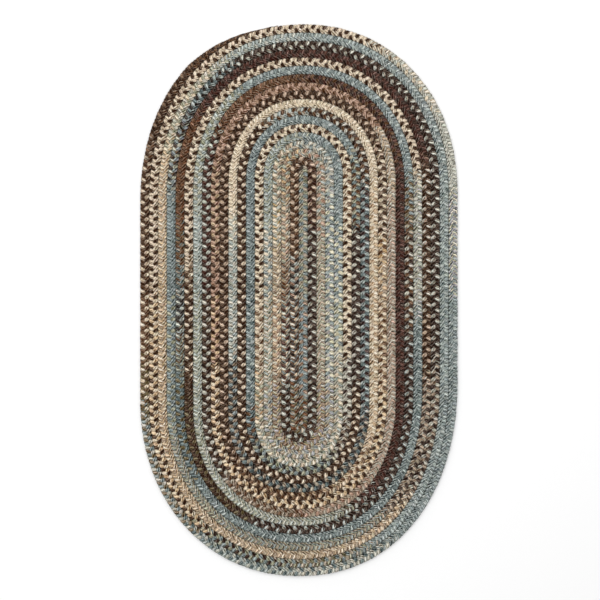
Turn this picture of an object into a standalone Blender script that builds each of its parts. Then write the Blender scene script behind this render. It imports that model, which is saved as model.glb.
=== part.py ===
"""Oval braided rug, in metres, +Z up.

One long, flat, three-strand braid is laid down as a short straight core and then coiled clockwise
round it, each lap laced to the edge of the last. The rug is one closed solid with a flat underside.
Its outline is the slightly uneven oval of such a coil, with the tapered tail of the braid lying
along the upper left edge, and every lap is raised on the top face, as the two rows of plait that
a flat braid shows.
"""
import math

import bmesh
import bpy

# Driving dimensions
BRAID_WIDTH = 0.01905  # three quarters of an inch, and so the step from lap to lap at the sides
WHOLE_LAPS = 18  # laps on the left side; the braid ends a little way into the next quarter
RUG_LENGTH = 1.193
CREST_HEIGHT = 0.0100  # of the rows of plait above the floor
SEAM_HEIGHT = 0.0094  # along the middle of the braid, between its two rows
VALLEY_HEIGHT = 0.0068  # between laps, where they are laced together
RIM_HEIGHT = 0.0050  # of the rug's widest line, halfway up the outermost lap
RIM_TUCK = 0.0030  # from the widest line in to the edge of the flat underside

# The quarters of a lap, clockwise from the middle of the left side. "end" is +1 for the top end of
# the rug. "pitch" is the step from lap to lap at the very end, and "inset" is how much sooner each
# lap leaves its straight side, both in steps at the sides. "power" is the curve's superellipse power.
QUARTERS = (
    {"side": -1, "end": 1, "pitch": 0.94, "inset": 0.20, "power": 2.12},
    {"side": 1, "end": 1, "pitch": 0.94, "inset": 0.15, "power": 2.10},
    {"side": 1, "end": -1, "pitch": 0.95, "inset": 0.28, "power": 2.17},
    {"side": -1, "end": -1, "pitch": 0.95, "inset": 0.16, "power": 2.09},
)
QUARTER_STEPS = 12  # stops along the curve of each quarter
TAPER_START = math.radians(46)  # the tail narrows from here
TAPER_END = math.radians(79)  # to nothing here, just short of the top end

# The laps curve round the two ends of the core: the top end lies half a step to the right of the
# rug's middle, and the bottom one on it, where the core turns back up along its own left side.
HALF_WIDTH = WHOLE_LAPS * BRAID_WIDTH
CORE_X = BRAID_WIDTH / 2
CORE_TOP = RUG_LENGTH / 2 - QUARTERS[0]["pitch"] * (HALF_WIDTH - CORE_X)
CORE_BOTTOM = RUG_LENGTH / 2 - QUARTERS[2]["pitch"] * HALF_WIDTH

# Across one lap, from its inner edge: valley, row of plait, seam, row of plait.
PROFILE = (VALLEY_HEIGHT, CREST_HEIGHT, SEAM_HEIGHT, CREST_HEIGHT)


def clear_scene():
    for old in list(bpy.data.objects):
        bpy.data.objects.remove(old, do_unlink=True)


def stops_of_a_lap():
    """The stops round one lap, as (quarter, angle): 0 where the side ends, a right angle at the
    rug's end, and None halfway along a side."""
    rising = [math.pi / 2 * step / QUARTER_STEPS for step in range(QUARTER_STEPS + 1)]
    stops = []
    for quarter in range(len(QUARTERS)):
        if quarter % 2 == 0:
            stops += [(quarter, None)] + [(quarter, angle) for angle in rising[:-1]]
        else:
            stops += [(quarter, angle) for angle in reversed(rising)]
    return stops


STOPS = stops_of_a_lap()
CORE_START = QUARTER_STEPS + 1 + QUARTER_STEPS  # the stop where the core's straight run starts
TAIL_TIP = 1 + math.ceil(TAPER_END / (math.pi / 2) * QUARTER_STEPS)


def place(stop, lap):
    """Where the line of that lap, which need not be whole, passes the stop, as x and y."""
    quarter, angle = STOPS[stop]
    if QUARTERS[quarter]["end"] > 0 and lap < 0:  # the core's other half
        quarter, lap = 0, -lap
    shape = QUARTERS[quarter]
    if shape["end"] > 0:
        reach, middle, core_end = lap * BRAID_WIDTH, CORE_X, CORE_TOP
    else:
        reach, middle, core_end = (lap + 0.5) * BRAID_WIDTH, 0.0, CORE_BOTTOM
    if angle is None:
        return middle + shape["side"] * reach, 0.0
    straight = core_end - shape["inset"] * reach
    depth = (shape["pitch"] + shape["inset"]) * reach
    across = max(math.cos(angle), 0.0) ** (2 / shape["power"])
    along = max(math.sin(angle), 0.0) ** (2 / shape["power"])
    x = middle + shape["side"] * reach * across
    y = shape["end"] * (straight + depth * along)
    return x, y


def width_at(lap, stop):
    """How wide the braid is there, in steps: full until its tail tapers away in the last quarter."""
    if lap < WHOLE_LAPS:
        return 1.0
    quarter, angle = STOPS[stop]
    if lap > WHOLE_LAPS or quarter > 0:
        return 0.0
    return min(max((TAPER_END - (angle or 0.0)) / (TAPER_END - TAPER_START), 0.0), 1.0)


def coil_vertex(bm, made, lap, stop, column):
    """The vertex of the top face there, made when it is first asked for."""
    if column == len(PROFILE):  # a lap's outer edge is the inner edge of the next
        lap, column = lap + 1, 0
    key = (lap, stop, column)
    if key not in made:
        width = width_at(lap, stop)
        inner_edge = lap - 1.5 + width_at(lap - 1, stop)
        x, y = place(stop, inner_edge + width * column / len(PROFILE))
        z = RIM_HEIGHT + (PROFILE[column] - RIM_HEIGHT) * width
        made[key] = bm.verts.new((x, y, z))
    return made[key]


def add_laps(bm, made):
    """The top face of the braid, from the core's top end to the tip of the tail."""
    run = [(0, stop) for stop in range(CORE_START, len(STOPS))]
    run += [(lap, stop) for lap in range(1, WHOLE_LAPS) for stop in range(len(STOPS))]
    run += [(WHOLE_LAPS, stop) for stop in range(TAIL_TIP + 1)]
    for here, there in zip(run, run[1:]):
        for column in range(len(PROFILE)):
            corners = [
                coil_vertex(bm, made, *here, column),
                coil_vertex(bm, made, *here, column + 1),
                coil_vertex(bm, made, *there, column + 1),
                coil_vertex(bm, made, *there, column),
            ]
            bm.faces.new(corners)


def close_core_start(bm, made):
    """The rounded end where the braid starts, inside the first lap's turn."""
    middle = made[(0, CORE_START, len(PROFILE) // 2)]
    ring = [made[(0, CORE_START, column)] for column in (1, 0)]
    ring += [made[(1, stop, 0)] for stop in range(2, CORE_START + 1)]
    ring.append(made[(0, CORE_START, len(PROFILE) - 1)])
    for here, there in zip(ring, ring[1:]):
        bm.faces.new([middle, here, there])


def add_underside(bm):
    """The outermost lap's lower half and the flat face that the rug lies on."""
    edge = [e for e in bm.edges if e.is_boundary]
    lowered = bmesh.ops.extrude_edge_only(bm, edges=edge)["geom"]
    for vert in (g for g in lowered if isinstance(g, bmesh.types.BMVert)):
        vert.co.x *= 1 - RIM_TUCK / HALF_WIDTH
        vert.co.y *= 1 - RIM_TUCK / (RUG_LENGTH / 2)
        vert.co.z = 0.0
    bmesh.ops.holes_fill(bm, edges=[e for e in bm.edges if e.is_boundary], sides=0)


def braid_material():
    material = bpy.data.materials.new("braided yarn")
    material.use_nodes = True
    shader = material.node_tree.nodes["Principled BSDF"]
    shader.inputs["Base Color"].default_value = (0.26, 0.22, 0.18, 1.0)
    shader.inputs["Roughness"].default_value = 0.95
    shader.inputs["Metallic"].default_value = 0.0
    return material


def make_rug(collection):
    bm = bmesh.new()
    made = {}
    add_laps(bm, made)
    close_core_start(bm, made)
    # Lines that meet at the ends of the core are made one.
    bmesh.ops.remove_doubles(bm, verts=bm.verts[:], dist=0.00001)
    add_underside(bm)
    bmesh.ops.recalc_face_normals(bm, faces=bm.faces[:])
    mesh = bpy.data.meshes.new("rug")
    bm.to_mesh(mesh)
    bm.free()
    mesh.materials.append(braid_material())
    rug = bpy.data.objects.new("rug", mesh)
    collection.objects.link(rug)
    return rug


clear_scene()
parts = bpy.data.collections.new("braided rug")
bpy.context.scene.collection.children.link(parts)
make_rug(parts)
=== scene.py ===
import math

import bpy
import numpy as np
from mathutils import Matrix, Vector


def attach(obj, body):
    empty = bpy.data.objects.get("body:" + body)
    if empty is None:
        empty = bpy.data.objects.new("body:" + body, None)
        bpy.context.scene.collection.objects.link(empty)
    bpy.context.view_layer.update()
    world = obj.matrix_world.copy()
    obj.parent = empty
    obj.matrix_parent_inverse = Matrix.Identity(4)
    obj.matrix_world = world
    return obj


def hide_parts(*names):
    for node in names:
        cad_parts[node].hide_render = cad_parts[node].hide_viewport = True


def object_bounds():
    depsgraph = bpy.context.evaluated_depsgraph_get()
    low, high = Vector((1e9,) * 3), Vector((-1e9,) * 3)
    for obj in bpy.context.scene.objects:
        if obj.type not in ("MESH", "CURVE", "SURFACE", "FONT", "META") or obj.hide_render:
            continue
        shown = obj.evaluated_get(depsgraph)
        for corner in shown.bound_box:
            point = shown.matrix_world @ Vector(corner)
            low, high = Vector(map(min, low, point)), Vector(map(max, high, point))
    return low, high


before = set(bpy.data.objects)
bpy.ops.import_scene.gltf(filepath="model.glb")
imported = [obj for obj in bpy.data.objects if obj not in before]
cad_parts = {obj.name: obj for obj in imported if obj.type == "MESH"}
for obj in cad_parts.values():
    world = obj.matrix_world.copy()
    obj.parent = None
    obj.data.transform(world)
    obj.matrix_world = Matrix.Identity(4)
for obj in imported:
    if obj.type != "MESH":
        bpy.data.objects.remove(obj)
cad_low, cad_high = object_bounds()


# The floor, the light and the camera: the rug lies on a plain white floor under soft, even light
# and is looked at from straight above, its long side upright in the picture.
FLOOR_SIZE = 9.0
FLOOR_LEVEL = -0.0002  # just under the rug
FRAME_WIDTH = 1.296  # of the square picture, on the rug
CAMERA_LENS = 100.0  # mm
SENSOR_WIDTH = 36.0  # mm
LOOK_AT = (0.0024, 0.0004)
LAMP_PLACE = (-0.5, 0.8, 2.6)  # above the rug's upper left, turned towards its middle
LAMP_TURN = (math.radians(-17), math.radians(-11), 0.0)
LAMP_SIZE = 2.6
LAMP_WATTS = 42.0
ROOM_LIGHT = 0.72

bpy.ops.object.select_all(action="DESELECT")
bpy.ops.mesh.primitive_plane_add(size=FLOOR_SIZE, location=(0.0, 0.0, FLOOR_LEVEL))
bpy.ops.object.transform_apply(location=True, rotation=True, scale=True)
floor = bpy.context.object
floor.name = "floor"
floor_paint = bpy.data.materials.new("white floor")
floor_paint.use_nodes = True
floor_shader = floor_paint.node_tree.nodes["Principled BSDF"]
floor_shader.inputs["Base Color"].default_value = (0.96, 0.96, 0.96, 1.0)
floor_shader.inputs["Roughness"].default_value = 0.9
floor.data.materials.append(floor_paint)

bpy.ops.object.light_add(type="AREA", location=LAMP_PLACE)
lamp = bpy.context.object
lamp.name = "soft lamp"
lamp.data.shape = "SQUARE"
lamp.data.size = LAMP_SIZE
lamp.data.energy = LAMP_WATTS
lamp.rotation_euler = LAMP_TURN

sky = bpy.data.worlds.new("pale room")
bpy.context.scene.world = sky
sky.use_nodes = True
sky.node_tree.nodes["Background"].inputs["Color"].default_value = (1.0, 1.0, 1.0, 1.0)
sky.node_tree.nodes["Background"].inputs["Strength"].default_value = ROOM_LIGHT
bpy.context.scene.view_settings.view_transform = "Standard"

camera_height = cad_high.z + FRAME_WIDTH * CAMERA_LENS / SENSOR_WIDTH
bpy.ops.object.camera_add(location=(*LOOK_AT, camera_height), rotation=(0.0, 0.0, 0.0))
camera = bpy.context.object
camera.data.lens = CAMERA_LENS
camera.data.sensor_width = SENSOR_WIDTH
bpy.context.scene.camera = camera


# The yarn: wool-like yarn in a few heathered shades. A strand of the braid is a flat bundle of
# parallel ends, ten round it, of up to three shades, each end two plies twisted together.
ENDS_ROUND = 10  # an even number, so that light and dark ends take turns all the way round
ENDS_TURN = 6  # ends by which the bundle turns in one repeat of the braid
PLIES_ALONG = 12  # slanted plies on one end in one repeat
ENDS_STRAY = 1.1  # of the ends from their even rows, in ends
PLIES_STRAY = 1.2  # of the plies, in plies
END_STEPS = (0, -10, 10)  # of the ends' three shades, lighter or darker than the strand's dye

# Light and dark on the yarn, in parts of the whole range as seen: the wool's own lighter and darker
# ends, plies and flecks, and painted light and shade on it
EVEN_LIGHT = -0.13
GROOVE_PAINTED_SHADE = -0.20  # between one end and the next
OTHER_END_LIGHT = 0.32  # on every other end
OTHER_PLY_LIGHT = 0.20  # on every other ply
PLY_CHANCE = 0.50  # from ply to ply, by chance
PLY_EDGE_PAINTED_SHADE = -0.18  # where one ply meets the next
FLECK_LIGHT = 0.22  # flecks in the wool, by chance
FIBRE_LIGHT = 0.16
SIDE_PAINTED_LIGHT = 0.40  # down the two sides of a strand
MIDDLE_PAINTED_SHADE = -0.32  # where it comes up in the middle of the braid
BRAID_EDGE_PAINTED_SHADE = -0.42  # where it goes under at the braid's edge
PALE_CURB = -1.6  # on white wool, off its highlights and on to its shadows
DARK_STRENGTH = 0.65  # of light and dark on black wool, to that on white
PALEST = (0.97, 0.93, 0.87, 1.0)  # no yarn is lighter than this
DARKEST = 0.03  # no yarn has less blue than this
SEEN_POWER = 2.2  # between a shade as seen and the light that it reflects

SOFT_BAND = 3.0  # the power of a wave that leaves a soft band at each of its peaks
NARROW_BAND = 18.0  # the power that leaves a narrow one
PLY_DIP = -0.25  # between one ply and the next, to the height of a round end
FIBRE_HEIGHT = 0.5  # of the fibres on it

DYES = {  # as seen in daylight
    "cream": (215, 197, 171),
    "straw": (212, 206, 176),
    "oat": (207, 188, 164),
    "mist": (182, 177, 163),
    "pale": (180, 180, 168),
    "sky": (155, 162, 157),
    "slate": (127, 136, 134),
    "teal": (92, 103, 102),
    "lilac": (157, 152, 157),
    "sage": (149, 147, 125),
    "olive": (98, 85, 59),
    "gold": (184, 153, 112),
    "sand": (187, 162, 132),
    "fawn": (176, 152, 130),
    "peach": (200, 171, 136),
    "rose": (167, 136, 116),
    "stone": (157, 143, 125),
    "taupe": (139, 121, 102),
    "rust": (105, 68, 45),
    "umber": (91, 65, 45),
    "maroon": (70, 43, 34),
    "plum": (62, 47, 43),
    "choc": (53, 39, 31),
    "bark": (57, 38, 24),
    "charcoal": (48, 42, 37),
}
LEAST_SEEN = 8  # of 255, of any colour in a shade


def daylight(red, green, blue):
    """A seen shade as the light that it reflects."""
    return tuple((max(value, LEAST_SEEN) / 255) ** SEEN_POWER for value in (red, green, blue))


def new_node(tree, kind, **settings):
    node = tree.nodes.new(kind)
    for name, value in settings.items():
        setattr(node, name, value)
    return node


def maths(tree, operation, first, second=None, third=None):
    """A Math node on sockets or plain numbers. It gives back the node's output."""
    node = new_node(tree, "ShaderNodeMath", operation=operation)
    for slot, value in enumerate((first, second, third)):
        if value is None:
            continue
        if isinstance(value, (int, float)):
            node.inputs[slot].default_value = value
        else:
            tree.links.new(value, node.inputs[slot])
    return node.outputs[0]


def add_light(tree, light, amount, where):
    """The light so far, with that amount more where the other value is 1."""
    return maths(tree, "MULTIPLY_ADD", where, amount, light)


def either_way(tree, value):
    """A value from 0 to 1 as one from -0.5 to 0.5."""
    return maths(tree, "SUBTRACT", value, 0.5)


def mix_colours(tree, share, first, second, blend="MIX"):
    node = new_node(tree, "ShaderNodeMix", data_type="RGBA", blend_type=blend)
    for slot, value in ((0, share), (6, first), (7, second)):
        if isinstance(value, (int, float, tuple)):
            node.inputs[slot].default_value = value
        else:
            tree.links.new(value, node.inputs[slot])
    return node.outputs[2]


def make_yarn():
    yarn = bpy.data.materials.new("braided yarn")
    yarn.use_nodes = True
    tree = yarn.node_tree
    shader = tree.nodes["Principled BSDF"]
    lay = new_node(tree, "ShaderNodeSeparateXYZ")
    tree.links.new(new_node(tree, "ShaderNodeUVMap", uv_map="strand").outputs["UV"], lay.inputs[0])
    around, along = lay.outputs[0], lay.outputs[1]
    place = new_node(tree, "ShaderNodeTexCoord").outputs["Object"]

    # Which end of the bundle it is, and how far from the middle of that end
    wander = new_node(tree, "ShaderNodeTexNoise", noise_dimensions="3D")
    wander.inputs["Scale"].default_value = 260.0
    wander.inputs["Detail"].default_value = 1.0
    tree.links.new(place, wander.inputs["Vector"])
    ends = maths(tree, "MULTIPLY", along, float(ENDS_TURN))
    ends = maths(tree, "MULTIPLY_ADD", around, float(ENDS_ROUND), ends)
    ends = maths(tree, "MULTIPLY_ADD", either_way(tree, wander.outputs["Fac"]), ENDS_STRAY, ends)
    number = maths(tree, "FLOOR", ends)
    across = maths(tree, "FRACT", ends)
    off_middle = maths(tree, "ABSOLUTE", maths(tree, "MULTIPLY_ADD", across, 2.0, -1.0))

    # The ends take turns in the strand's three shades.
    turn = maths(tree, "FLOORED_MODULO", number, 3.0)
    shades = []
    for letter in "abc":
        attribute = new_node(tree, "ShaderNodeAttribute", attribute_name=f"shade_{letter}")
        shades.append(attribute.outputs["Color"])
    is_second = maths(tree, "COMPARE", turn, 1.0, 0.1)
    is_third = maths(tree, "COMPARE", turn, 2.0, 0.1)
    shade = mix_colours(tree, is_second, shades[0], shades[1])
    shade = mix_colours(tree, is_third, shade, shades[2])

    # The slanted plies are spun from light and dark wool, and take turns too.
    slant = maths(tree, "MULTIPLY_ADD", along, float(PLIES_ALONG), across)
    slant = maths(tree, "MULTIPLY_ADD", wander.outputs["Fac"], PLIES_STRAY, slant)
    ply_number = maths(tree, "FLOOR", slant)
    off_ply = maths(tree, "MULTIPLY_ADD", maths(tree, "FRACT", slant), 2.0, -1.0)
    off_ply = maths(tree, "ABSOLUTE", off_ply)
    spot = new_node(tree, "ShaderNodeCombineXYZ")
    tree.links.new(number, spot.inputs[0])
    tree.links.new(ply_number, spot.inputs[1])
    tree.links.new(maths(tree, "FLOOR", around), spot.inputs[2])
    chance = new_node(tree, "ShaderNodeTexWhiteNoise", noise_dimensions="3D")
    tree.links.new(spot.outputs[0], chance.inputs["Vector"])

    # How light or dark the wool is here: from end to end, from ply to ply and by chance, with painted
    # shade in the groove between one end and the next
    fibres = new_node(tree, "ShaderNodeTexNoise", noise_dimensions="3D")
    fibres.inputs["Scale"].default_value = 1400.0
    fibres.inputs["Detail"].default_value = 3.0
    fibres.inputs["Roughness"].default_value = 0.7
    tree.links.new(place, fibres.inputs["Vector"])
    flecks = new_node(tree, "ShaderNodeTexNoise", noise_dimensions="3D")
    flecks.inputs["Scale"].default_value = 450.0
    flecks.inputs["Detail"].default_value = 2.0
    tree.links.new(place, flecks.inputs["Vector"])
    groove = maths(tree, "POWER", off_middle, SOFT_BAND)
    light = maths(tree, "MULTIPLY_ADD", groove, GROOVE_PAINTED_SHADE, EVEN_LIGHT)
    light = add_light(tree, light, OTHER_END_LIGHT, maths(tree, "FLOORED_MODULO", number, 2.0))
    light = add_light(tree, light, OTHER_PLY_LIGHT, maths(tree, "FLOORED_MODULO", ply_number, 2.0))
    light = add_light(tree, light, PLY_CHANCE, either_way(tree, chance.outputs["Value"]))
    light = add_light(tree, light, FLECK_LIGHT, either_way(tree, flecks.outputs["Fac"]))
    # Painted light down a strand's two sides evens out some of the shade between the strands.
    whole_turn = 2 * math.pi
    side = maths(tree, "ABSOLUTE", maths(tree, "COSINE", maths(tree, "MULTIPLY", around, whole_turn)))
    light = add_light(tree, light, SIDE_PAINTED_LIGHT, maths(tree, "POWER", side, SOFT_BAND))
    # Painted shade makes it darkest in the middle of the braid, where it comes up from under another,
    # and at the braid's edges, where it goes under.
    middle = maths(tree, "ABSOLUTE", maths(tree, "COSINE", maths(tree, "MULTIPLY", along, whole_turn)))
    light = add_light(tree, light, MIDDLE_PAINTED_SHADE, maths(tree, "POWER", middle, NARROW_BAND))
    edge = maths(tree, "ABSOLUTE", maths(tree, "SINE", maths(tree, "MULTIPLY", along, whole_turn)))
    light = add_light(tree, light, BRAID_EDGE_PAINTED_SHADE, maths(tree, "POWER", edge, NARROW_BAND))
    # Painted shade where one ply meets the next.
    light = add_light(tree, light, PLY_EDGE_PAINTED_SHADE, maths(tree, "POWER", off_ply, SOFT_BAND))
    light = add_light(tree, light, FIBRE_LIGHT, either_way(tree, fibres.outputs["Fac"]))
    # Light and dark are much the same step on every dye, so they are added to the dye as it is seen.
    seen = new_node(tree, "ShaderNodeGamma")
    tree.links.new(shade, seen.inputs["Color"])
    seen.inputs["Gamma"].default_value = 1 / SEEN_POWER
    paleness = new_node(tree, "ShaderNodeRGBToBW")
    tree.links.new(seen.outputs["Color"], paleness.inputs["Color"])
    # On pale wool the darker steps, painted shade among them, are deepened and the lighter ones,
    # painted light among them, held back.
    curb = maths(tree, "MULTIPLY", paleness.outputs["Val"], PALE_CURB)
    light = maths(tree, "MULTIPLY", light, maths(tree, "MULTIPLY_ADD", light, curb, 1.0))
    strength = maths(tree, "MULTIPLY_ADD", paleness.outputs["Val"], 1 - DARK_STRENGTH, DARK_STRENGTH)
    light = maths(tree, "MULTIPLY", light, strength)
    # Dark wool keeps its hue: it gets no darker than its blue, the least of its colours, allows.
    parts = new_node(tree, "ShaderNodeSeparateColor")
    tree.links.new(seen.outputs["Color"], parts.inputs["Color"])
    least = maths(tree, "SUBTRACT", DARKEST, parts.outputs["Blue"])
    light = maths(tree, "MAXIMUM", light, least)
    lit = mix_colours(tree, 1.0, seen.outputs["Color"], light, "ADD")
    lit = mix_colours(tree, 1.0, lit, PALEST, "DARKEN")
    depth = new_node(tree, "ShaderNodeGamma")
    tree.links.new(lit, depth.inputs["Color"])
    depth.inputs["Gamma"].default_value = SEEN_POWER
    tree.links.new(depth.outputs["Color"], shader.inputs["Base Color"])

    # Matt wool, with a little fuzz. Each end is round, and its plies and fibres stand up from it.
    rough = maths(tree, "MULTIPLY_ADD", fibres.outputs["Fac"], 0.2, 0.78)
    tree.links.new(rough, shader.inputs["Roughness"])
    shader.inputs["Specular IOR Level"].default_value = 0.05
    shader.inputs["Sheen Weight"].default_value = 0.03
    shader.inputs["Sheen Tint"].default_value = (1.0, 0.93, 0.84, 1.0)
    shader.inputs["Sheen Roughness"].default_value = 0.6
    height = maths(tree, "MULTIPLY", off_middle, off_middle)
    height = maths(tree, "SQRT", maths(tree, "SUBTRACT", 1.0, height))
    height = maths(tree, "MULTIPLY_ADD", off_ply, PLY_DIP, height)
    height = maths(tree, "MULTIPLY_ADD", fibres.outputs["Fac"], FIBRE_HEIGHT, height)
    bump = new_node(tree, "ShaderNodeBump")
    bump.inputs["Strength"].default_value = 0.7
    bump.inputs["Distance"].default_value = 0.0007
    tree.links.new(height, bump.inputs["Height"])
    tree.links.new(bump.outputs["Normal"], shader.inputs["Normal"])
    return yarn


# The braid: three strands plaited flat, each passing from the middle over to one edge, under and
# back. One repeat is modelled: a strand bent along its way through the plait, and two copies.
HALF_LAPS = 36  # across the middle of the rug
BRAID_WIDTH = (cad_high.x - cad_low.x) / HALF_LAPS
BRAID_HEIGHT = cad_high.z - cad_low.z
REPEAT = 0.0242  # along the braid, over which each strand goes to both edges and back
STRAND_WIDTH = 0.0082  # where it lies on top, and underneath
STRAND_HEIGHT = 0.0046
STRAND_SIDES = 6
STRAND_STEPS = 16
DRAWN_IN = 0.26  # of its width, in the middle of the braid and at its edges
OVERHANG = 0.0005  # of each edge over the next lap's, into the hollows between its strands
CROSSWISE = 0.25  # how much steeper than a plain wave it crosses the top
ROUNDNESS = 0.7  # of its humps: 1 for a plain wave, and less for flatter tops
FULLNESS = 1.3  # of its section's flat top and underside, to a plain six-sided one's
SWING = BRAID_WIDTH / 2 + OVERHANG - STRAND_WIDTH * (1 - DRAWN_IN) / 2
LIFT = (BRAID_HEIGHT - STRAND_HEIGHT) / 2
WAY_POINTS = 96  # on the way of a strand through one repeat


def draw_line(name, points, widths=None):
    """A poly curve through the points, which bends a piece that lies along +X."""
    line = bpy.data.curves.new(name, "CURVE")
    line.dimensions = "3D"
    line.twist_mode = "Z_UP"
    spline = line.splines.new("POLY")
    spline.points.add(len(points) - 1)
    for index, point in enumerate(points):
        spline.points[index].co = (*point, 1.0)
        spline.points[index].radius = widths[index] if widths else 1.0
    drawn = bpy.data.objects.new(name, line)
    bpy.context.scene.collection.objects.link(drawn)
    return drawn


def bend_along(piece, line):
    bend = piece.modifiers.new("bend", "CURVE")
    bend.object = line
    bend.deform_axis = "POS_X"
    bpy.context.view_layer.objects.active = piece
    bpy.ops.object.modifier_apply(modifier=bend.name)
    bpy.data.curves.remove(line.data)


def length_of(points):
    return sum(math.dist(here, there) for here, there in zip(points, points[1:]))


def strand_way(repeats):
    """The way of one strand through so many repeats of the plait, and its width at each point."""
    way, widths = [], []
    for index in range(repeats * WAY_POINTS + 1):
        turn = 2 * math.pi * index / WAY_POINTS
        along = REPEAT * (turn + CROSSWISE / 4 * math.sin(4 * turn)) / (2 * math.pi)
        rise = math.copysign(abs(math.sin(2 * turn)) ** ROUNDNESS, math.sin(2 * turn))
        way.append((along, SWING * math.sin(turn), BRAID_HEIGHT / 2 + LIFT * rise))
        widths.append(1 - DRAWN_IN * math.cos(2 * turn) ** 2)
    return way, widths


def read_mesh(layer, key, width):
    values = np.empty(len(layer) * width, np.float32)
    layer.foreach_get(key, values)
    return values.reshape(-1, width)


def make_strand():
    """One strand over one repeat, from the start of the second repeat of its way to the third."""
    strand_length = length_of(strand_way(1)[0])
    bpy.ops.object.select_all(action="DESELECT")
    bpy.ops.mesh.primitive_cylinder_add(
        vertices=STRAND_SIDES,
        radius=0.5,
        depth=strand_length,
        end_fill_type="NOTHING",
        location=(1.5 * strand_length, 0.0, 0.0),
        rotation=(0.0, math.pi / 2, 0.0),
    )
    strand = bpy.context.object
    bpy.ops.object.transform_apply(location=True, rotation=True, scale=True)
    bpy.ops.object.mode_set(mode="EDIT")
    bpy.ops.mesh.select_mode(type="EDGE")
    bpy.ops.mesh.select_all(action="SELECT")
    bpy.ops.transform.resize(value=(1.0, STRAND_WIDTH, STRAND_HEIGHT), center_override=(0.0, 0.0, 0.0))
    bpy.ops.mesh.select_all(action="DESELECT")
    bpy.ops.object.mode_set(mode="OBJECT")
    for vertex in strand.data.vertices:
        if abs(vertex.co.z) > STRAND_HEIGHT / 4:
            vertex.co.y *= FULLNESS
            vertex.co.z = math.copysign(STRAND_HEIGHT / 2, vertex.co.z)
    for edge in strand.data.edges:
        start, end = (strand.data.vertices[index].co for index in edge.vertices)
        edge.select = bool(abs(start.x - end.x) > strand_length / 2)
    bpy.ops.object.mode_set(mode="EDIT")
    bpy.ops.mesh.subdivide(number_cuts=STRAND_STEPS - 1)
    bpy.ops.object.mode_set(mode="OBJECT")
    strand.data.uv_layers[0].name = "strand"  # the cylinder's own map, once round and once along
    bend_along(strand, draw_line("strand way", *strand_way(3)))
    return strand


def make_repeat():
    """The three strands of one repeat of the braid, joined."""
    strand = make_strand()
    strands = [strand]
    for number in (1, 2):
        bpy.ops.object.select_all(action="DESELECT")
        strand.select_set(True)
        bpy.context.view_layer.objects.active = strand
        bpy.ops.object.duplicate()
        copy = bpy.context.object
        copy.location.x += number * REPEAT / 3
        bpy.ops.object.transform_apply(location=True, rotation=False, scale=False)
        lay = copy.data.uv_layers["strand"]
        places = read_mesh(lay.data, "uv", 2)
        places[:, 0] += number
        lay.data.foreach_set("uv", places.ravel())
        strands.append(copy)
    bpy.ops.object.select_all(action="DESELECT")
    for piece in strands:
        piece.select_set(True)
    bpy.context.view_layer.objects.active = strand
    bpy.ops.object.join()
    strand.location.x = -REPEAT
    bpy.ops.object.transform_apply(location=True, rotation=False, scale=False)
    strand.name = "one repeat"
    return strand


yarn = make_yarn()
one_repeat = make_repeat()
one_repeat.data.materials.append(yarn)


# The laps: the braid starts as a straight core and is coiled clockwise round it, lap beside lap,
# each lap laced to the last. The strands' colours change, one end after another, as they run out.
WHOLE_LAPS = HALF_LAPS // 2
RUG_LENGTH = cad_high.y - cad_low.y
QUARTERS = (  # clockwise from the middle of the left side, as the frame's outline has them
    {"side": -1, "end": 1, "pitch": 0.94, "inset": 0.20, "power": 2.12},
    {"side": 1, "end": 1, "pitch": 0.94, "inset": 0.15, "power": 2.10},
    {"side": 1, "end": -1, "pitch": 0.95, "inset": 0.28, "power": 2.17},
    {"side": -1, "end": -1, "pitch": 0.95, "inset": 0.16, "power": 2.09},
)
HALF_WIDTH = WHOLE_LAPS * BRAID_WIDTH
CORE_X = BRAID_WIDTH / 2
CORE_TOP = RUG_LENGTH / 2 - QUARTERS[0]["pitch"] * (HALF_WIDTH - CORE_X)
CORE_BOTTOM = RUG_LENGTH / 2 - QUARTERS[2]["pitch"] * HALF_WIDTH
CURVE_STEPS = 48  # on the curve of each quarter
SIDE_STEPS = 12  # on the straight half side before or after it
TAPER_START = math.radians(46)  # the tail narrows from here
TAPER_END = math.radians(79)  # to nothing here
TIP_WIDTH = 0.12
START_STEPS = 6  # from the narrow start of the core down to where it is at its full width
START_REACH = 0.42  # of that start beyond the middle of the first turn, in braid widths
START_WIDTH = 0.45
WANDER = 0.0016  # of the strands from their even ways, for the whole range of the unevenness
SWELL = 0.0008
RUN_OUT = 0.05  # quarters of a lap, by which one end runs out sooner or later than its strand
DRIFT = 0.06  # of a strand's lightness along it, by chance, as a share of its dye
TINT_DRIFT = 0.02  # of each of its colours
LEAST_TINT = 0.3  # the darkest that such a drift can make it
COLUMNS_TO_ROWS = 0.45  # of places on the map for baking, longer along a strand than round it
BAKE_MARGIN = 0.04  # of each place, free on both sides of its strand
CAP_RADIUS = 0.4  # of a strand's end face on its own place
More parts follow.
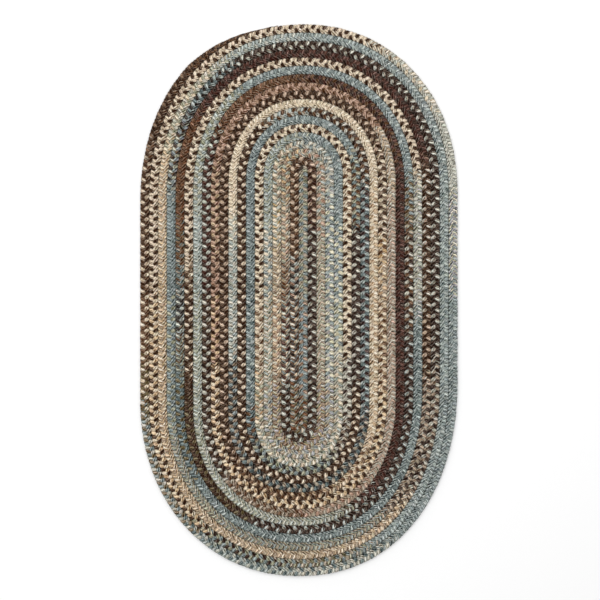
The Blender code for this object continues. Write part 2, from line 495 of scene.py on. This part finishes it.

# Where the strands change: lap, quarters round it from the middle of its left side, and the dyes
# of the three strands from there on. The rows and the dyes are written after the photo's
# runs of colour, and were corrected against its average colours, run by run.
DYE_CHANGES = (
    (0, 1.00, "stone sage slate"),
    (0, 2.00, "slate taupe/rose slate"),
    (0, 2.70, "olive/teal umber/rust stone/sky"),
    (0, 3.40, "charcoal/rust umber/slate mist/peach"),
    (1, 0.00, "charcoal/choc taupe/rose pale/sky"),
    (1, 0.30, "bark umber fawn/oat"),
    (1, 1.00, "bark maroon/bark fawn"),
    (1, 1.50, "choc choc pale/stone"),
    (1, 2.70, "choc bark pale"),
    (1, 3.40, "maroon/charcoal taupe/slate pale/peach"),
    (2, 0.00, "umber/slate taupe/rust stone/peach"),
    (2, 0.25, "sand/mist mist/sage taupe/rose"),
    (2, 0.60, "taupe/umber sand/gold sage/sky"),
    (2, 1.00, "rose/fawn mist/sky stone/sage"),
    (2, 1.60, "fawn/sage/mist"),
    (2, 2.50, "taupe/rust stone/lilac sage/gold"),
    (2, 3.50, "sand/peach cream/mist taupe/rose"),
    (3, 0.00, "cream sand/mist stone/taupe"),
    (3, 0.30, "cream sage/gold mist/sky"),
    (3, 0.60, "cream sage/sky taupe/stone"),
    (3, 0.95, "pale/cream slate/sky mist"),
    (3, 1.40, "straw slate/sky sky/lilac"),
    (3, 2.00, "straw slate/sky mist/lilac"),
    (3, 2.50, "stone/peach sky/lilac mist/sage"),
    (3, 3.50, "mist/peach sage/sky pale/oat"),
    (4, 0.00, "cream/mist slate/sky pale/mist"),
    (4, 0.40, "sky/sage/sky"),
    (4, 1.00, "slate sky slate"),
    (4, 1.60, "sky/lilac straw slate"),
    (4, 2.00, "sage/pale straw sky"),
    (4, 2.30, "cream sage/sky mist"),
    (4, 3.30, "cream stone/gold sage"),
    (4, 3.60, "cream cream umber/taupe"),
    (5, 0.00, "cream cream bark"),
    (5, 1.30, "cream cream umber"),
    (5, 1.60, "cream cream bark"),
    (5, 2.30, "choc mist mist"),
    (5, 2.60, "choc mist taupe"),
    (5, 2.80, "charcoal slate sage"),
    (5, 3.30, "slate teal umber"),
    (5, 3.50, "slate teal sky"),
    (6, 0.00, "slate slate slate/teal"),
    (6, 0.75, "sky slate slate"),
    (6, 1.30, "sage/stone teal/slate umber"),
    (6, 1.65, "choc choc mist"),
    (6, 2.40, "bark bark oat"),
    (7, 0.00, "bark bark oat"),
    (7, 0.80, "umber mist sky"),
    (7, 1.00, "choc umber mist"),
    (7, 1.50, "teal plum sky"),
    (7, 2.50, "charcoal teal stone"),
    (7, 3.30, "charcoal slate taupe"),
    (7, 3.75, "pale sky mist"),
    (8, 0.00, "sky pale mist"),
    (8, 0.25, "mist cream pale"),
    (8, 0.40, "cream cream cream"),
    (8, 1.50, "cream sand cream"),
    (8, 2.60, "sand cream umber"),
    (8, 2.85, "umber bark sand"),
    (8, 3.30, "bark bark fawn"),
    (9, 0.00, "bark bark fawn"),
    (9, 1.40, "bark cream taupe"),
    (9, 1.72, "umber gold cream"),
    (9, 1.85, "taupe cream peach"),
    (9, 2.00, "cream sand umber"),
    (9, 2.35, "peach cream bark"),
    (9, 3.75, "bark rose peach"),
    (10, 0.00, "bark rose rose"),
    (10, 0.15, "rose bark sand"),
    (10, 0.50, "rose rose umber"),
    (10, 1.35, "mist/stone/sand"),
    (10, 1.60, "stone/rose/mist"),
    (10, 2.70, "stone taupe rose"),
    (10, 3.00, "umber taupe stone"),
    (10, 3.30, "choc bark mist"),
    (11, 0.00, "choc maroon pale"),
    (11, 0.63, "umber umber rust/taupe"),
    (11, 1.00, "maroon umber choc"),
    (11, 1.50, "maroon maroon choc"),
    (11, 2.70, "maroon choc pale"),
    (11, 2.83, "sage/sky/mist"),
    (11, 3.50, "sky/pale/sage"),
    (12, 0.00, "sky/sky/pale"),
    (12, 0.30, "sage pale sky"),
    (12, 0.75, "sky slate slate"),
    (12, 1.60, "slate/teal umber/olive taupe/sage"),
    (12, 1.75, "umber choc mist"),
    (12, 2.10, "choc choc sky/stone"),
    (12, 3.20, "bark bark olive"),
    (12, 3.65, "bark umber/bark bark"),
    (12, 3.78, "bark bark oat"),
    (13, 0.00, "bark umber/taupe cream"),
    (13, 0.13, "oat oat bark"),
    (13, 1.60, "pale/sky sage/lilac mist"),
    (13, 2.05, "slate/sky/teal"),
    (13, 3.40, "teal teal/slate olive"),
    (13, 3.75, "slate/sage/umber"),
    (13, 3.90, "charcoal/slate charcoal pale/sky"),
    (14, 0.00, "teal/sage slate/stone umber/teal"),
    (14, 0.15, "umber/olive teal/olive umber"),
    (14, 0.25, "umber/rust umber/bark rust/umber"),
    (14, 0.60, "maroon choc maroon"),
    (14, 1.55, "bark bark mist/rose"),
    (14, 2.00, "bark bark fawn"),
    (14, 2.25, "choc stone/fawn taupe/mist"),
    (14, 2.70, "sage/slate/taupe"),
    (14, 3.30, "slate/sage/stone"),
    (14, 3.60, "slate slate sage"),
    (15, 0.00, "slate slate slate"),
    (15, 0.33, "slate/lilac sage/mist charcoal/umber"),
    (15, 0.55, "teal charcoal sky"),
    (15, 0.75, "choc choc pale/stone"),
    (15, 2.20, "choc mist taupe"),
    (15, 2.62, "taupe cream sand"),
    (15, 2.85, "sand/cream/taupe"),
    (15, 3.40, "peach/cream/taupe"),
    (16, 0.00, "peach/cream/stone"),
    (16, 0.45, "mist cream sage"),
    (16, 0.75, "sky sky pale"),
    (16, 1.00, "sky slate sky"),
    (16, 2.80, "slate olive/sage stone"),
    (16, 3.05, "slate sage choc"),
    (16, 3.30, "peach cream bark"),
    (17, 0.00, "oat oat bark"),
    (17, 1.22, "mist pale cream"),
    (17, 1.45, "pale/mist/pale"),
    (17, 1.70, "slate/straw/lilac"),
    (17, 1.95, "slate sky slate"),
    (17, 2.75, "teal mist pale"),
    (17, 3.05, "teal pale sky"),
    (17, 3.35, "slate olive/taupe mist"),
    (17, 3.70, "olive umber/olive cream"),
    (17, 3.85, "umber umber cream"),
    (18, 0.00, "bark umber/bark oat/fawn"),
    (18, 0.40, "bark umber stone/taupe"),
    (18, 0.50, "bark bark umber/taupe"),
    (18, 0.75, "umber choc umber"),
)


def line_point(quarter, angle, lap):
    """Where that line of the coil passes: at an angle of the quarter's curve, or, where it is
    negative, that far back along the straight side, from -1 at the middle of the side to 0."""
    if QUARTERS[quarter]["end"] > 0 and lap < 0:
        quarter, lap = 0, -lap
    shape = QUARTERS[quarter]
    if shape["end"] > 0:
        reach, middle, core_end = lap * BRAID_WIDTH, CORE_X, CORE_TOP
    else:
        reach, middle, core_end = (lap + 0.5) * BRAID_WIDTH, 0.0, CORE_BOTTOM
    straight = core_end - shape["inset"] * reach
    if angle < 0:
        return middle + shape["side"] * reach, shape["end"] * straight * (1 + angle)
    depth = (shape["pitch"] + shape["inset"]) * reach
    across = max(math.cos(angle), 0.0) ** (2 / shape["power"])
    along = max(math.sin(angle), 0.0) ** (2 / shape["power"])
    return middle + shape["side"] * reach * across, shape["end"] * (straight + depth * along)


def stops_of_a_quarter(quarter):
    stops = [step / SIDE_STEPS - 1 for step in range(SIDE_STEPS)]
    stops += [math.pi / 2 * step / CURVE_STEPS for step in range(CURVE_STEPS + 1)]
    return stops if quarter % 2 == 0 else stops[::-1]


def taper(lap, quarter, angle):
    if lap < WHOLE_LAPS:
        return 1.0
    return min(max((TAPER_END - angle) / (TAPER_END - TAPER_START), TIP_WIDTH), 1.0)


def lap_line(lap):
    """The middle line of a lap as points, its width at each, and its length at each quarter."""
    points, widths, quarter_ends = [], [], [0.0]
    first, last = (1, 3) if lap == 0 else (0, 0) if lap == WHOLE_LAPS else (0, 3)
    if lap == 0:
        for step in range(START_STEPS):
            share = step / START_STEPS
            half = BRAID_WIDTH / 2 * (START_WIDTH + (1 - START_WIDTH) * math.sin(share * math.pi / 2))
            level = CORE_TOP + START_REACH * BRAID_WIDTH * (1 - share)
            points.append((CORE_X, level, 0.0))
            widths.append(((CORE_X - half, level), (CORE_X + half, level)))
    for quarter in range(first, last + 1):
        for angle in stops_of_a_quarter(quarter):
            if lap == 0 and quarter == 1 and angle > 0:
                continue
            if lap == WHOLE_LAPS and angle > TAPER_END:
                continue
            width = taper(lap, quarter, angle)
            inner = line_point(quarter, angle, lap - 0.5)
            outer = line_point(quarter, angle, lap - 0.5 + width)
            middle = ((inner[0] + outer[0]) / 2, (inner[1] + outer[1]) / 2, 0.0)
            if points and math.dist(middle, points[-1]) < 1e-5:
                continue
            points.append(middle)
            widths.append((inner, outer))
        quarter_ends.append(length_of(points))
    room = []
    for index, (inner, outer) in enumerate(widths):
        back, ahead = points[max(index - 1, 0)], points[min(index + 1, len(points) - 1)]
        heading = math.atan2(ahead[1] - back[1], ahead[0] - back[0])
        gap = (outer[1] - inner[1]) * math.cos(heading) - (outer[0] - inner[0]) * math.sin(heading)
        room.append(abs(gap) / BRAID_WIDTH)
    return points, room, quarter_ends


def shade_of_end(strands, number, end):
    """The shade of one end of a strand. A strand is named by its dyes, joined by strokes if its
    ends are of several, and one such name alone stands for three strands of that mixture."""
    names = strands.split()
    if len(names) == 1:
        dyes = names[0].split("/")
        dye = DYES[dyes[(number + end) % len(dyes)]]
    else:
        dyes = names[number].split("/")
        dye = DYES[dyes[end % len(dyes)]]
    return [value + END_STEPS[end] for value in dye]


def dye_shades(lap, along, strand, quarter_ends, luck):
    """The three shades at each point, from how far along the lap it is and which strand it is on."""
    first = 1 if lap == 0 else 0
    quarters = np.interp(along, quarter_ends, [first + step for step in range(len(quarter_ends))])
    rows = [row for row in DYE_CHANGES if row[0] == lap]
    before = [row for row in DYE_CHANGES if row[0] < lap]
    if before:
        rows.insert(0, (lap, -1.0, before[-1][2]))
    shades = []
    repeats = int(along.max() / REPEAT) + 3
    for end in range(3):
        found = np.zeros((len(along), 3))
        for number in range(3):
            on_it = strand == number
            changes = [row[1] + luck.uniform(-RUN_OUT, RUN_OUT) for row in rows[1:]]
            which = np.searchsorted(changes, quarters[on_it])
            dyes = np.array([daylight(*shade_of_end(row[2], number, end)) for row in rows])
            drift = luck.normal(0.0, DRIFT, (2 * repeats, 1))
            drift = drift + luck.normal(0.0, TINT_DRIFT, (2 * repeats, 3))
            spot = along[on_it] / REPEAT * 2
            tint = np.stack([np.interp(spot, np.arange(2 * repeats), drift[:, c]) for c in range(3)], 1)
            found[on_it] = dyes[which] * np.maximum(1 + tint, LEAST_TINT)
        shades.append(found)
    return shades


def lay_for_baking(mesh, repeats):
    """A second map with the strands of the lap side by side in rows, for when its look is baked."""
    places = read_mesh(mesh.uv_layers["strand"].data, "uv", 2)
    corners = places.reshape(-1, 4, 2)
    middle = corners.mean(axis=1)
    number = np.floor(middle[:, 0])
    copy = np.floor(middle[:, 1])
    index = copy + number * repeats
    columns = max(1, round(math.sqrt(3 * repeats * COLUMNS_TO_ROWS)))
    rows = math.ceil((3 * repeats + 1) / columns)  # with a space to spare at the end
    u = (index % columns)[:, None] + corners[:, :, 1] - copy[:, None]
    round_it = (corners[:, :, 0] - number[:, None]) * (1 - 2 * BAKE_MARGIN)
    v = np.floor(index / columns)[:, None] + BAKE_MARGIN + round_it
    spread = np.stack([u / columns, v / rows], axis=2).astype(np.float32)
    bake = mesh.uv_layers.new(name="OFBake")
    bake.data.foreach_set("uv", spread.ravel())
    return columns, rows


def lay_the_caps(mesh, columns, rows):
    """Places on both maps for the faces that close the strands' ends."""
    sides = np.empty(len(mesh.polygons), np.int32)
    mesh.polygons.foreach_get("loop_total", sides)
    corners = np.empty(len(mesh.loops), np.int32)
    mesh.loops.foreach_get("vertex_index", corners)
    strand_map = mesh.uv_layers["strand"].data
    bake = mesh.uv_layers["OFBake"].data
    caps = np.nonzero(sides == STRAND_SIDES)[0]
    for place, face in enumerate(caps):
        for step, corner in enumerate(mesh.polygons[face].loop_indices):
            beside = np.nonzero(corners == corners[corner])[0][0]
            strand_map[corner].uv = strand_map[beside].uv
            angle = 2 * math.pi * step / STRAND_SIDES
            u = columns - 1 + (place + 0.5 + CAP_RADIUS * math.cos(angle)) / len(caps)
            v = rows - 0.5 + CAP_RADIUS * math.sin(angle)
            bake[corner].uv = (u / columns, v / rows)


hand = bpy.data.textures.new("unevenness of a plait pulled tight by hand", "CLOUDS")
hand.cloud_type = "COLOR"
hand.noise_scale = 0.012
hand.noise_depth = 1


def make_lap(lap, name):
    luck = np.random.default_rng(100 + lap)
    points, room, quarter_ends = lap_line(lap)
    lap_length = quarter_ends[-1]
    repeats = round(lap_length / REPEAT)
    bpy.ops.object.select_all(action="DESELECT")
    one_repeat.select_set(True)
    bpy.context.view_layer.objects.active = one_repeat
    bpy.ops.object.duplicate()
    piece = bpy.context.object
    piece.name = name
    piece.data.name = name
    row = piece.modifiers.new("row", "ARRAY")
    row.count = repeats
    row.use_relative_offset = False
    row.use_constant_offset = True
    row.constant_offset_displace = (REPEAT, 0.0, 0.0)
    row.use_merge_vertices = True
    row.merge_threshold = 0.00005
    row.offset_v = 1.0
    bpy.ops.object.modifier_apply(modifier=row.name)
    piece.scale.x = lap_length / (repeats * REPEAT)
    bpy.ops.object.transform_apply(location=False, rotation=False, scale=True)

    mesh = piece.data
    columns, rows = lay_for_baking(mesh, repeats)
    along = read_mesh(mesh.vertices, "co", 3)[:, 0].astype(float)
    corners = np.empty(len(mesh.loops), np.int32)
    mesh.loops.foreach_get("vertex_index", corners)
    around = read_mesh(mesh.uv_layers["strand"].data, "uv", 2).reshape(-1, 4, 2)[:, :, 0]
    number = np.floor(around.mean(axis=1))
    strand = np.zeros(len(mesh.vertices), int)
    strand[corners.reshape(-1, 4)] = number[:, None].astype(int)
    for letter, found in zip("abc", dye_shades(lap, along, strand, quarter_ends, luck)):
        colours = np.ones((len(along), 4), np.float32)
        colours[:, :3] = found
        shade = mesh.color_attributes.new(f"shade_{letter}", "FLOAT_COLOR", "POINT")
        shade.data.foreach_set("color", colours.ravel())

    bend_along(piece, draw_line(f"{name} line", points, room))
    for direction, strength in (("RGB_TO_XYZ", WANDER), ("NORMAL", SWELL)):
        uneven = piece.modifiers.new("uneven", "DISPLACE")
        uneven.texture = hand
        uneven.texture_coords = "LOCAL"
        uneven.direction = direction
        uneven.strength = strength
        uneven.mid_level = 0.5
        bpy.ops.object.modifier_apply(modifier=uneven.name)
    places = read_mesh(mesh.vertices, "co", 3)
    places[:, 2] = places[:, 2].clip(0.0, BRAID_HEIGHT)
    mesh.vertices.foreach_set("co", places.ravel())
    bpy.ops.object.mode_set(mode="EDIT")
    bpy.ops.mesh.select_mode(type="EDGE")
    bpy.ops.mesh.select_all(action="DESELECT")
    bpy.ops.mesh.select_non_manifold()
    bpy.ops.mesh.fill_holes(sides=STRAND_SIDES)
    bpy.ops.object.mode_set(mode="OBJECT")
    lay_the_caps(mesh, columns, rows)
    bpy.ops.object.shade_smooth_by_angle(angle=math.radians(80))
    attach(piece, "root")
    return piece


for lap in range(WHOLE_LAPS + 1):
    name = "core" if lap == 0 else "tail" if lap == WHOLE_LAPS else f"lap_{lap:02d}"
    make_lap(lap, name)
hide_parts("rug")
bpy.data.objects.remove(one_repeat)


# The thread between the laps: a strong dark thread that runs between them at half their height, out of
# sight
# but for what shows in the hollows between their edges. It is one thin dark web under all the valleys:
# partly the thread, and partly painted shade that fills those hollows.
LACING_THICKNESS = 0.0012
LACING_LEVEL = 0.0040  # of its top face above the floor
LACING_INSET = 0.35  # of its edge inside the outermost lap's middle line, in braid widths


def make_lacing_and_painted_shade():
    outline = []
    for quarter in range(4):
        for angle in stops_of_a_quarter(quarter):
            tail = taper(WHOLE_LAPS, quarter, angle) if quarter == 0 and angle < TAPER_END else 0.0
            outline.append(line_point(quarter, angle, WHOLE_LAPS - 1 + tail - LACING_INSET))
    following = outline[1:] + outline[:1]
    outline = [here for here, there in zip(outline, following) if math.dist(here, there) > 1e-4]
    bpy.ops.object.select_all(action="DESELECT")
    bpy.ops.mesh.primitive_circle_add(vertices=len(outline), radius=1.0, fill_type="NGON")
    lacing_and_painted_shade = bpy.context.object
    lacing_and_painted_shade.name = "lacing_and_painted_shade"
    for vertex, (x, y) in zip(lacing_and_painted_shade.data.vertices, outline):
        vertex.co = (x, y, LACING_LEVEL)
    bpy.ops.object.mode_set(mode="EDIT")
    bpy.ops.mesh.select_all(action="SELECT")
    bpy.ops.mesh.extrude_region_move(TRANSFORM_OT_translate={"value": (0.0, 0.0, -LACING_THICKNESS)})
    bpy.ops.mesh.select_all(action="SELECT")
    bpy.ops.mesh.normals_make_consistent(inside=False)
    bpy.ops.object.mode_set(mode="OBJECT")
    return lacing_and_painted_shade


def make_thread_and_painted_shade():
    thread = bpy.data.materials.new("lacing thread")
    thread.use_nodes = True
    tree = thread.node_tree
    shader = tree.nodes["Principled BSDF"]
    place = new_node(tree, "ShaderNodeTexCoord").outputs["Object"]
    twist = new_node(tree, "ShaderNodeTexNoise", noise_dimensions="3D")
    twist.inputs["Scale"].default_value = 600.0
    tree.links.new(place, twist.inputs["Vector"])
    # Dark browns: the thread's colour, which also paints the shade in the hollows between the laps.
    ramp = new_node(tree, "ShaderNodeValToRGB")
    ramp.color_ramp.elements[0].color = (*daylight(34, 28, 24), 1.0)
    ramp.color_ramp.elements[1].color = (*daylight(84, 74, 62), 1.0)
    tree.links.new(twist.outputs["Fac"], ramp.inputs["Fac"])
    tree.links.new(ramp.outputs["Color"], shader.inputs["Base Color"])
    bump = new_node(tree, "ShaderNodeBump")
    bump.inputs["Strength"].default_value = 0.6
    bump.inputs["Distance"].default_value = 0.0005
    tree.links.new(twist.outputs["Fac"], bump.inputs["Height"])
    tree.links.new(bump.outputs["Normal"], shader.inputs["Normal"])
    shader.inputs["Roughness"].default_value = 0.9
    return thread


lacing_and_painted_shade = make_lacing_and_painted_shade()
lacing_and_painted_shade.data.materials.append(make_thread_and_painted_shade())
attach(lacing_and_painted_shade, "root")
